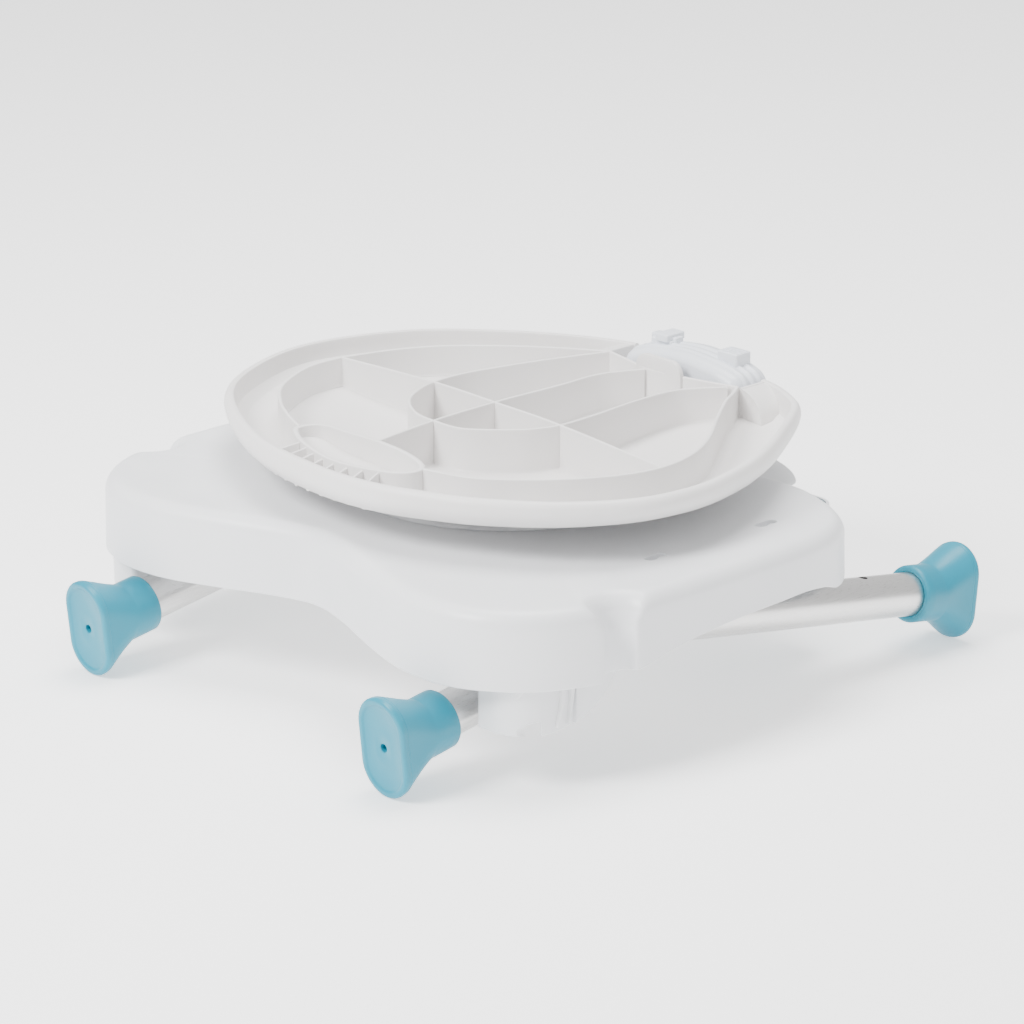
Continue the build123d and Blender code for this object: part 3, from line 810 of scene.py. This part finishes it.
def build_rim(rim_path, rim_nor):
    """Rim wall swept along the outline, with a flange that overlaps the floor plate."""
    base = floor_z(rim_path)
    rings = []
    for out, share, extra in RIM_PROFILE:
        p = rim_path + rim_nor * out
        foot = floor_z(p) if share == 0 else base
        rings.append(np.column_stack([p, foot + (COVER_TOP - base) * share + extra]))
    return loft("cover_rim", np.array(rings).transpose(1, 0, 2), caps=(True, True))


def build_plate(rim_path, rim_nor):
    """Domed floor plate, cut straight around the bay."""
    inner = rim_path - rim_nor * 20.0
    x, y = inner.T
    inner = inner[(x < BAY_X - 1) | (y < -BAY_Y[-1] - 1) | (y > BAY_Y[1] + 1)]
    start, end = inner[0], inner[-1]
    side = 1 if start[1] > 0 else -1
    y0, y1 = side * BAY_Y[side], -side * BAY_Y[-side]
    edge = [(start[0], y0), (BAY_X, y0), (BAY_X, y1), (end[0], y1)]
    outline = resample(np.vstack([inner, resample(edge[::-1], 60)]), 420, True)
    return sheet("cover_plate", outline, floor_z, lambda p: floor_z(p) - 2.5, step=9.0)


def build_ribs():
    """Upright walls on the floor: four that make the outer ring, then the three inside it."""
    ribs = []
    walls = [(path, 3.3) for path in (RING_FAR, RING_FRONT, RING_NEAR, CHORD)]
    walls += [(path, 2.9) for path in (CROSS, LEAF, SPINE)]
    for points, width in walls:
        pts = traced(points)
        length = np.linalg.norm(np.diff(pts, axis=0), axis=1).sum()
        path = curve_through(pts, max(12, int(length / 3.2)))
        ribs.append(ribbon("rib", path, floor_z, COVER_TOP, width))
    return join("cover_ribs", ribs)


def build_pocket():
    """Lens-shaped finger pocket with a thick border and a raised floor."""
    path = traced(curve_through(LENS, 170, closed=True))
    border = ribbon("lens_border", path, floor_z, COVER_TOP - 0.5, 4.6, closed=True, flare=2.2, draft=0.6)

    def pan_top(p):
        return floor_z(p) + 12.0 + 0.001 * (p[:, 1] - 10) ** 2

    pan = sheet("lens_floor", path, pan_top, lambda p: floor_z(p) - 0.5)
    return join("cover_pocket", [border, pan])


def build_comb():
    """Eight teeth from the pocket out to the rim's inner wall, lower towards the rim."""
    teeth = []
    for i in range(8):
        y_in = 52 - 15.2 * i
        y_out = 60 - 17.6 * i
        x_in = -190 - 6 * (1 - ((y_in + 2) / 60.0) ** 2)
        x_out = -218.5 + (y_out + 8) ** 2 * (0.0017 if y_out > -8 else 0.0008)
        pts = traced([(x_in, y_in), (x_out, y_out)])
        path = resample(pts, 12)
        top = np.linspace(COVER_TOP - 1.5, COVER_TOP - 6.5, len(path))
        teeth.append(ribbon("tooth", path, floor_z, top, 2.3, flare=0.8))
    return join("cover_comb", teeth)


def build_bay_slopes(rim_path):
    """Wall on each side of the bay, and a block rounded down from it into the rim's channel."""
    pads = []
    for side in (1, -1):
        half = BAY_Y[side]
        x_in = 213.0
        near = rim_path[(rim_path[:, 1] * side > half) & (rim_path[:, 0] > 150)]
        near = near[np.argsort(np.abs(near[:, 1]))]
        rim_x, rim_y = near[:, 0], np.abs(near[:, 1])
        wall_y = side * (half + 2)
        wall_end = np.interp(half + 2, rim_y, rim_x) - 4
        wall_path = resample([(x_in - 2, wall_y), (wall_end, wall_y)], 16)
        pads.append(ribbon("bay_wall", wall_path, floor_z, COVER_TOP - 0.4, 3.6))
        rows = []
        for v in np.linspace(0, 1, 26):
            y = side * (half + 1.5 + 34 * v)
            out_x = np.interp(abs(y), rim_y, rim_x) - 8.6
            in_x = x_in - 1.5 - 9.0 * v
            xs = np.linspace(in_x, out_x, 14)
            p = np.column_stack([xs, np.full(14, y)])
            drop = 1 - np.sqrt(max(1 - v**2.2, 0.0))
            zt = (COVER_TOP - 1.2) * (1 - drop) + (floor_z(p) - 0.4) * drop
            rows.append(np.column_stack([p, zt]))
        rows = np.array(rows)
        n, m = rows.shape[:2]
        top = rows.reshape(-1, 3)
        under = np.column_stack([top[:, :2], floor_z(top[:, :2]) - 1.5])
        verts = np.vstack([top, under])
        faces = []
        for i in range(n - 1):
            for j in range(m - 1):
                a = i * m + j
                faces.append((a, a + 1, a + m + 1, a + m))
                b = n * m + a
                faces.append((b, b + m, b + m + 1, b + 1))
        ring = list(range(m)) + [i * m + m - 1 for i in range(1, n)]
        ring += [(n - 1) * m + j for j in range(m - 2, -1, -1)] + [i * m for i in range(n - 2, 0, -1)]
        for a, b in zip(ring, ring[1:] + ring[:1]):
            faces.append((a, b, n * m + b, n * m + a))
        pads.append(make_object("slope", verts, faces))
    return join("cover_bay_slopes", pads)


def build_tab():
    """Half-round tab that stands up from the chord wall."""
    y_min, y_max = -30, 28
    arc = [(y_min + 13 * (1 - cos(a)), 203 + 14.5 * sin(a)) for a in np.radians((20, 40, 60, 80))]
    mirrored = [(y_max - (y - y_min), z) for y, z in reversed(arc)]
    outline = [(y_min, 190), (y_min, 203)] + arc + mirrored + [(y_max, 203), (y_max, 190)]
    outline = resample(outline, 70)
    rings = []
    for x, inset in ((174.6, 1.0), (175.2, 0.2), (176.2, 0.0), (178.4, 0.0), (179.4, 0.2), (180.0, 1.0)):
        mid = np.array([-1.0, 190.0])
        q = mid + (outline - mid) * (1 - inset / 26.0)
        plan = from_cover(np.column_stack([np.full(len(q), x + 1.0), q[:, 0]]))
        rings.append(np.column_stack([plan, q[:, 1]]))
    return loft("cover_tab", rings, caps=(True, True))


def build_cover():
    """All pieces of the cover, the rim first."""
    rim_path = cover_rim_path()
    rim_nor = normals(rim_path)
    # normals point away from the cover's middle
    if np.mean(np.sum(rim_nor * (rim_path - np.array(COVER_AT)), axis=1)) < 0:
        rim_nor = -rim_nor
    return (
        build_rim(rim_path, rim_nor),
        build_plate(rim_path, rim_nor),
        build_ribs(),
        build_pocket(),
        build_comb(),
        build_bay_slopes(rim_path),
        build_tab(),
    )


# ------------------------------------------------------------------ bridge


BRIDGE_HALF = 71.8
RIDGE_PROFILE = ((-3.2, 0.0), (-2.6, 0.45), (-1.6, 1.1), (0, 1.4), (1.6, 1.1), (2.6, 0.45), (3.2, 0.0))


def arch(grow):
    """Arched end view of the bridge as Y and Z, grown outwards."""
    e = -BRIDGE_HALF - grow
    side = [(e, 141.0), (e, 166.0), (e, 190.0), (e + 1.2, 200.5), (e + 5.5, 207.5), (e + 13, 211.6)]
    crown = [(-40, 216.4), (0, 220.2)]
    pts = [(y, z + (grow if z > 195 else 0)) for y, z in side + crown]
    full = pts + [(-y, z) for y, z in reversed(pts[:-1])]
    return curve_through(full, 150)


def build_bridge():
    """Arched block with three raised ridges across it and a toy lug on each side of its crown."""
    stations = [(211.0, -8.0), (211.4, -6.2), (212.6, -4.2), (214.8, -2.0), (218.0, -0.6), (221.0, 0.0)]
    for x in (226.0, 235.0, 244.0):
        stations += [(x + dx, grow) for dx, grow in RIDGE_PROFILE]
    stations += [(250.0, -0.2), (253.0, -0.8), (255.0, -2.2), (256.0, -4.4)]
    rings = []
    for x, grow in stations:
        a = arch(grow)
        rings.append(np.column_stack([np.full(len(a), x), a]))
    parts = [loft("arch", rings, caps=(True, True))]
    # left lug is stepped with an undercut slot, right lug is a plain rib with fine lines
    parts.append(soft_block("lug_foot", 232, 250, 28, 54, 210, 221.0, 3.0, 1.6))
    parts.append(soft_block("lug_head", 229, 253, 30, 46, 220.5, 226.8, 2.4, 1.4))
    parts.append(soft_block("lug_step", 236, 247, 26, 57, 210, 223.9, 2.0, 1.2))
    parts.append(soft_block("lug_plain", 231, 251, -53, -29, 207, 225.4, 2.6, 1.4))
    for x in (234.0, 238.0, 242.0, 246.0):
        parts.append(soft_block("lug_line", x - 0.5, x + 0.5, -52, -30, 222, 226.0, 0.4, 0.3))
    return join("rear_bridge_body", parts)


# ------------------------------------------------------------------ corners

SOLE_Z = 42.52
DEPLOY = 84.0
FOOT_LENGTH = 63.5
COLLAR_WIDE = 50.0
COLLAR_SLANT = 8.0
SOLE_TALL = 85.4
SOLE_WIDE = 53.0
# plan distance of a housing's cheeks from its hinge, inwards and outwards, and half its wall
CHEEK_IN = -24.0
CHEEK_OUT = 25.4
HALF_WALL = 1.75
LATCH_Z = -30.0
EAR_Y = 33.0
EAR_TOP = 128.0
# disc: middle along the leg, height over the hinge, radius; ears: distances of the screw ears
OUTER = {
    "sole_x": 297.0,
    "hinge_x": 200.0,
    "sole_y": 257.0,
    "pitch": 9.3,
    "splay": 1.9,
    "front": 39.0,
    "disc": (-4.0, 5.0, 80.0),
    "corner": 36.0,
    "top": 142.0,
    "ears": (-19.0, 34.0),
}
INNER = {
    "sole_x": 313.5,
    "hinge_x": 160.0,
    "sole_y": 187.0,
    "pitch": 8.5,
    "splay": 0.0,
    "front": 32.0,
    "disc": (0.0, 0.0, 57.0),
    "corner": 24.0,
    "top": 135.5,
    "ears": (16.0, 36.0),
}
for kind in (OUTER, INNER):
    reach = kind["sole_x"] + kind["hinge_x"]
    kind["length"] = reach / cos(radians(kind["pitch"])) / cos(radians(kind["splay"]))
    kind["hinge_z"] = SOLE_Z + reach * tan(radians(kind["pitch"]))
    kind["hinge_y"] = kind["sole_y"] - kind["length"] * sin(radians(kind["splay"]))
CORNERS = {
    "front_left": (-1, 1, OUTER),
    "front_right": (-1, -1, OUTER),
    "rear_left": (1, 1, INNER),
    "rear_right": (1, -1, INNER),
}


def place(obj, name, leg=False):
    """Moves a part made in the hinge frame (x to the folded foot, +y outwards) to its corner."""
    sx, sy, kind = CORNERS[name]
    m = Matrix.Identity(4)
    if leg:
        splay = Matrix.Rotation(radians(kind["splay"]), 4, "Z")
        m = Matrix.Rotation(radians(kind["pitch"]), 4, "Y") @ splay
    m = Matrix.Diagonal((1, -sx * sy, 1, 1)) @ m
    m = Matrix.Rotation(pi if sx > 0 else 0, 4, "Z") @ m
    at = (sx * kind["hinge_x"] * MM, sy * kind["hinge_y"] * MM, kind["hinge_z"] * MM)
    obj.data.transform(Matrix.Translation(at) @ m)
    if m.determinant() < 0:
        obj.data.flip_normals()
    return obj


def stadium(tall, wide, count=120):
    """Upright stadium as Y and Z, starting half way up its +Y side so that every section lines up."""
    r = wide / 2
    a = max(tall / 2 - r, 0.0)
    start = [(r, 0.0)]
    upper = [(r * cos(t), a + r * sin(t)) for t in np.linspace(0, pi, 40)]
    lower = [(r * cos(t), -a + r * sin(t)) for t in np.linspace(pi, 2 * pi, 40)]
    return resample(start + upper + lower + start, count + 1)[:-1]


def foot_mesh(name, kind):
    """Rubber boot: rounded collar with a lip, flared waist, worn sole rim, sunk panel and screw hole."""
    length = kind["length"]
    tilt = tan(radians(DEPLOY + kind["pitch"] - 90))
    x0 = length - FOOT_LENGTH
    slant = tan(radians(COLLAR_SLANT))
    waist = x0 + 26.0
    end = length - 7.5
    rings = []

    def section(x, tall, wide, slope):
        s = stadium(tall, wide)
        rings.append(np.column_stack([x - s[:, 1] * slope, s[:, 0], s[:, 1]]))

    lip = ((8, 19.2), (0.4, 19.3), (0, 19.9), (0, 22.6), (0.7, 24.0), (2.2, 24.9))
    for x, r in lip:
        section(x0 + x, 2 * r, 2 * r, 0)
    section(x0 + 10.0, COLLAR_WIDE, COLLAR_WIDE, 0.3 * slant)
    section(x0 + 24.8, COLLAR_WIDE, COLLAR_WIDE, slant)
    section(waist, COLLAR_WIDE + 0.4, COLLAR_WIDE, slant)
    for t in (0.05, 0.12, 0.22, 0.34, 0.48, 0.62, 0.76, 0.88, 0.96, 1.0):
        tall = COLLAR_WIDE + 0.4 + 33.0 * (0.9 * t + 0.1 * sin(pi * t / 2) ** 2) - 1.2 * sin(pi * t)
        wide = COLLAR_WIDE + 2.0 * t - 1.4 * sin(pi * t)
        section(waist + (end - waist) * t, tall, wide, slant * (1 - t) + tilt * t)
    # fine crease, then the rounded edge of the sole
    for back, tall, wide in ((6.7, 84.2, 52.4), (6.2, 83.9, 52.1), (5.7, 84.7, 52.8)):
        section(length - back, tall, wide, tilt)
    for a in np.radians((0, 22, 45, 68, 90)):
        roll = 5.2 * (1 - cos(a))
        section(length - 2.6 + 2.6 * sin(a), SOLE_TALL - roll, SOLE_WIDE - roll, tilt)
    # sunk panel and the screw hole in its middle
    panel = ((0.0, 77.2, 44.8), (0.3, 75.0, 42.6), (1.1, 73.4, 41.0), (1.6, 71.4, 39.0), (1.7, 30.0, 20.0))
    hole = ((1.8, 9.4, 9.2), (2.4, 7.4, 7.3), (8.8, 6.9, 6.9))
    for back, tall, wide in panel + hole:
        section(length - back, tall, wide, tilt)
    return loft(name, rings, caps=(False, True))


def housing_path(kind):
    """Plan path around a housing: inner cheek, front wall, rounded corner, outer cheek."""
    f = -kind["front"] + HALF_WALL
    cx, _, r = kind["disc"]
    end = cx + r
    c = kind["corner"] - HALF_WALL
    pts = [(end - 0.2, CHEEK_IN)] + [(x, CHEEK_IN) for x in np.linspace(end - 3, f + 3, 24)]
    pts += [(f + 3 - 3 * sin(a), CHEEK_IN + 3 - 3 * cos(a)) for a in np.radians((30, 60, 90))]
    quarter = np.radians(np.linspace(0, 90, 28))
    pts += [(f + c - c * cos(a), CHEEK_OUT - c + c * sin(a)) for a in quarter]
    pts += [(x, CHEEK_OUT) for x in np.linspace(f + c + 3, end - 3, 24)] + [(end - 0.2, CHEEK_OUT)]
    pts = np.array(pts)
    dist = np.linalg.norm(np.diff(pts, axis=0), axis=1)
    pts = pts[np.r_[True, dist > 0.2]]
    return resample(pts, 170)


def housing_low(kind, x):
    """Lower edge of a housing at local x."""
    cx, cz, r = kind["disc"]
    return cz - np.sqrt(np.maximum(r**2 - np.maximum(x - cx, 0) ** 2, 0.0))


# cheek that carries the disc and the crescent ribs
CHEEK_FACE = 26.9


def build_disc(kind):
    """Raised disc on the outer cheek, behind the ribs."""
    cx, cz, r = kind["disc"]
    turn = np.radians(np.linspace(-90, 0, 60))
    arc = [(cx + (r - 0.6) * cos(a), cz + (r - 0.6) * sin(a)) for a in turn]
    outline = [p for p in arc if p[0] > 16 and p[1] < -28] + [(72.0, -28.0), (18.0, -28.0)]
    outline = resample(outline, 130, True)
    mid = outline.mean(0)
    rings = []
    for proud, inset in ((-1.0, 0.0), (2.6, 0.0), (3.5, 0.5), (3.8, 1.6)):
        q = mid + (outline - mid) * (1 - inset / 30.0)
        rings.append(np.column_stack([q[:, 0], np.full(len(q), CHEEK_FACE + proud), q[:, 1]]))
    return loft("disc", rings, caps=(True, True))


def build_crescent(kind, x_low, x_mid, x_top):
    """Curved rib on the outer cheek that tapers downwards."""
    _, cz, r = kind["disc"]
    n = 26
    zs = np.linspace(-20.5, cz - r + 4.5, n)
    t = np.linspace(0, 1, n)
    line = (1 - t) ** 2 * x_top + 2 * t * (1 - t) * (x_mid + 3) + t**2 * x_low
    wide = 3.2 * (1 - t) ** 0.6 + 0.7
    rows = []
    for o, proud in ((-1, -1.0), (-0.8, 2.2), (-0.3, 3.2), (0.3, 3.2), (0.8, 2.2), (1, -1.0)):
        y = np.full(n, CHEEK_FACE + proud) - 0.8 * t**3
        rows.append(np.column_stack([line + o * wide, y, zs]))
    return loft("crescent", np.array(rows).transpose(1, 0, 2), caps=(True, True))


def build_tongue(path, nor):
    """Tongue-shaped facet that runs down the rounded front corner."""
    n = 15
    run = np.r_[0, np.cumsum(np.linalg.norm(np.diff(path, axis=0), axis=1))]
    corner_at = np.argmin(np.linalg.norm(path - np.array([-31.0, 12.0]), axis=1))
    lift = 1.0 + 1.6 * np.clip(1 - np.abs(np.linspace(-1, 1, n)) ** 6, 0, 1)
    levels = ((-18, 14.0), (-24, 12.6), (-30, 10.4), (-36, 7.4), (-40, 4.6), (-42.4, 2.4), (-43.2, 0.6))
    rows = []
    for z, half in levels:
        s = run[corner_at] + np.linspace(-half, half, n)
        p = np.column_stack([np.interp(s, run, path[:, 0]), np.interp(s, run, path[:, 1])])
        q = np.column_stack([np.interp(s, run, nor[:, 0]), np.interp(s, run, nor[:, 1])])
        rows.append(np.column_stack([p + q * lift[:, None], np.full(n, float(z))]))
    return loft("tongue", rows, closed=False)


def build_housing(name):
    """Housing of one hinge, swept along its plan path; the outer kind has the disc and ribs."""
    kind = CORNERS[name][2]
    path = housing_path(kind)
    nor = normals(path)
    # outwards: away from the leg's slot
    if nor[len(nor) // 2][0] > 0:
        nor = -nor
    top = kind["top"] - kind["hinge_z"]
    low = housing_low(kind, path[:, 0])
    rings = []
    # distance outwards from the path, share of the wall's height, extra height
    for out, share, dz in (
        (-1.3, 1, 0.0),
        (1.3, 1, 0.0),
        (1.5, 0.66, 0.0),
        (1.5, 0.33, 0.0),
        (1.5, 0, 2.0),
        (1.3, 0, 0.7),
        (0.6, 0, 0.05),
        (-0.6, 0, 0.05),
        (-1.3, 0, 0.7),
        (-1.5, 0, 2.0),
        (-1.5, 0.5, 0.0),
    ):
        z = np.minimum(low + (top - low) * share + dz, top)
        rings.append(np.column_stack([path + nor * out, z]))
    body = loft("housing_body", np.array(rings).transpose(1, 0, 2), caps=(True, True))
    parts = [body]
    if kind is OUTER:
        _, cz, r = kind["disc"]
        cutter = rod("arch_cut", 6.6, (-60, 12, cz - r + 1.0), (-15, 24, cz - r + 5.5), 40)
        boolean(body, cutter)
        parts.append(build_disc(kind))
        parts.append(build_crescent(kind, -2.0, 4.5, 4.0))
        parts.append(build_crescent(kind, 9.5, 14.5, 13.0))
        parts.append(build_tongue(path, nor))
    parts.append(rod("latch_boss", 9.0, (0, -25.0, LATCH_Z), (0, -33.0, LATCH_Z), 40))
    for x in kind["ears"]:
        z = EAR_TOP - kind["hinge_z"]
        parts.append(soft_block("ear", x - 7, x + 7, -40, -24.5, z - 4, z, 3.0, 0.8))
    return place(join("housing_body_" + name, parts), name)


# ------------------------------------------------------------------ assemble

deck = build_deck()
build_slots(deck)
finish_piece(deck, DECK_MAT, "deck", "deck_plastic", "deck_shell")
lobe = build_lobe()
finish_piece(lobe, DECK_MAT, "deck", "deck_plastic")
bosses = []
for corner, (sx, sy, kind) in CORNERS.items():
    for x in kind["ears"]:
        px = sx * kind["hinge_x"] - sx * x
        py = sy * kind["hinge_y"] - sy * EAR_Y
        bosses.append(rod("boss", 6.5, (px, py, EAR_TOP + 0.1), (px, py, 149.0)))
finish_piece(join("deck_bosses", bosses), DECK_MAT, "deck", "deck_plastic")

finish_piece(build_ring(), DECK_MAT, "ring", "deck_plastic", "seat_ring")

for index, piece in enumerate(build_cover()):
    if index == 0:
        finish_piece(piece, COVER_MAT, "cover", "cover_plastic", "table_cover")
    else:
        finish_piece(piece, COVER_MAT, "cover", "cover_plastic")

finish_piece(build_bridge(), BRIDGE_MAT, "deck", "bridge_plastic", "rear_bridge")

for corner, (sx, sy, kind) in CORNERS.items():
    boot = place(foot_mesh("boot_" + corner, kind), corner, leg=True)
    smooth(boot, 50)
    finish_piece(boot, RUBBER_MAT, "lower_leg_" + corner, "foot_rubber", "foot_" + corner)
    finish_piece(build_housing(corner), HOUSING_MAT, "deck", "deck_plastic", "hinge_housing_" + corner)

CAD_MATERIALS = {
    "leg_aluminium": ALU_MAT,
    "teal_plastic": TEAL_MAT,
    "dark_plastic": DARK_MAT,
    "steel": STEEL_MAT,
    "deck_plastic": DECK_MAT,
    "cover_plastic": COVER_MAT,
    "bridge_plastic": BRIDGE_MAT,
    "foot_rubber": RUBBER_MAT,
}
for part in frame["record"]["subparts"]:
    node = frame["nodes"][part["node"]]
    node.data.materials.clear()
    node.data.materials.append(CAD_MATERIALS[part["material_slot"]])

# ------------------------------------------------------------------ stage, light and camera

floor_mesh = bpy.data.meshes.new("floor")
floor_mesh.from_pydata([(-12, -12, 0), (12, -12, 0), (12, 12, 0), (-12, 12, 0)], [], [(0, 1, 2, 3)])
floor = bpy.data.objects.new("floor", floor_mesh)
bpy.context.scene.collection.objects.link(floor)
floor_mat, _, floor_bsdf = node_material("floor_white")
floor_bsdf.inputs["Base Color"].default_value = (0.9, 0.9, 0.9, 1)
floor_bsdf.inputs["Roughness"].default_value = 0.9
floor_bsdf.inputs["Emission Color"].default_value = (1, 1, 1, 1)
floor_bsdf.inputs["Emission Strength"].default_value = 0.9
floor_mesh.materials.append(floor_mat)

world = bpy.data.worlds.new("studio")
bpy.context.scene.world = world
world.use_nodes = True
world.node_tree.nodes["Background"].inputs["Color"].default_value = (1.0, 1.0, 1.0, 1)
world.node_tree.nodes["Background"].inputs["Strength"].default_value = 1.0


def area_light(name, location, target, size, power):
    data = bpy.data.lights.new(name, "AREA")
    data.shape = "RECTANGLE"
    data.size, data.size_y = size
    data.energy = power
    obj = bpy.data.objects.new(name, data)
    obj.location = location
    obj.rotation_euler = (Vector(target) - Vector(location)).to_track_quat("-Z", "Y").to_euler()
    bpy.context.scene.collection.objects.link(obj)


area_light("key", (-2.3, 0.3, 2.3), (0, 0, 0.1), (1.1, 1.1), 150)
area_light("top", (0.4, 0.2, 2.8), (0, 0, 0.1), (1.6, 1.6), 105)

cam_data = bpy.data.cameras.new("camera")
cam_data.sensor_width = 36.0
cam_data.lens = 131.8
cam_data.clip_end = 100.0
camera = bpy.data.objects.new("camera", cam_data)
camera.location = (-2.11105, -2.2137, 1.1413)
camera.rotation_euler = Vector((0.657, 0.684, -0.316)).to_track_quat("-Z", "Y").to_euler()
bpy.context.scene.collection.objects.link(camera)
bpy.context.scene.camera = camera

bpy.context.view_layer.update()
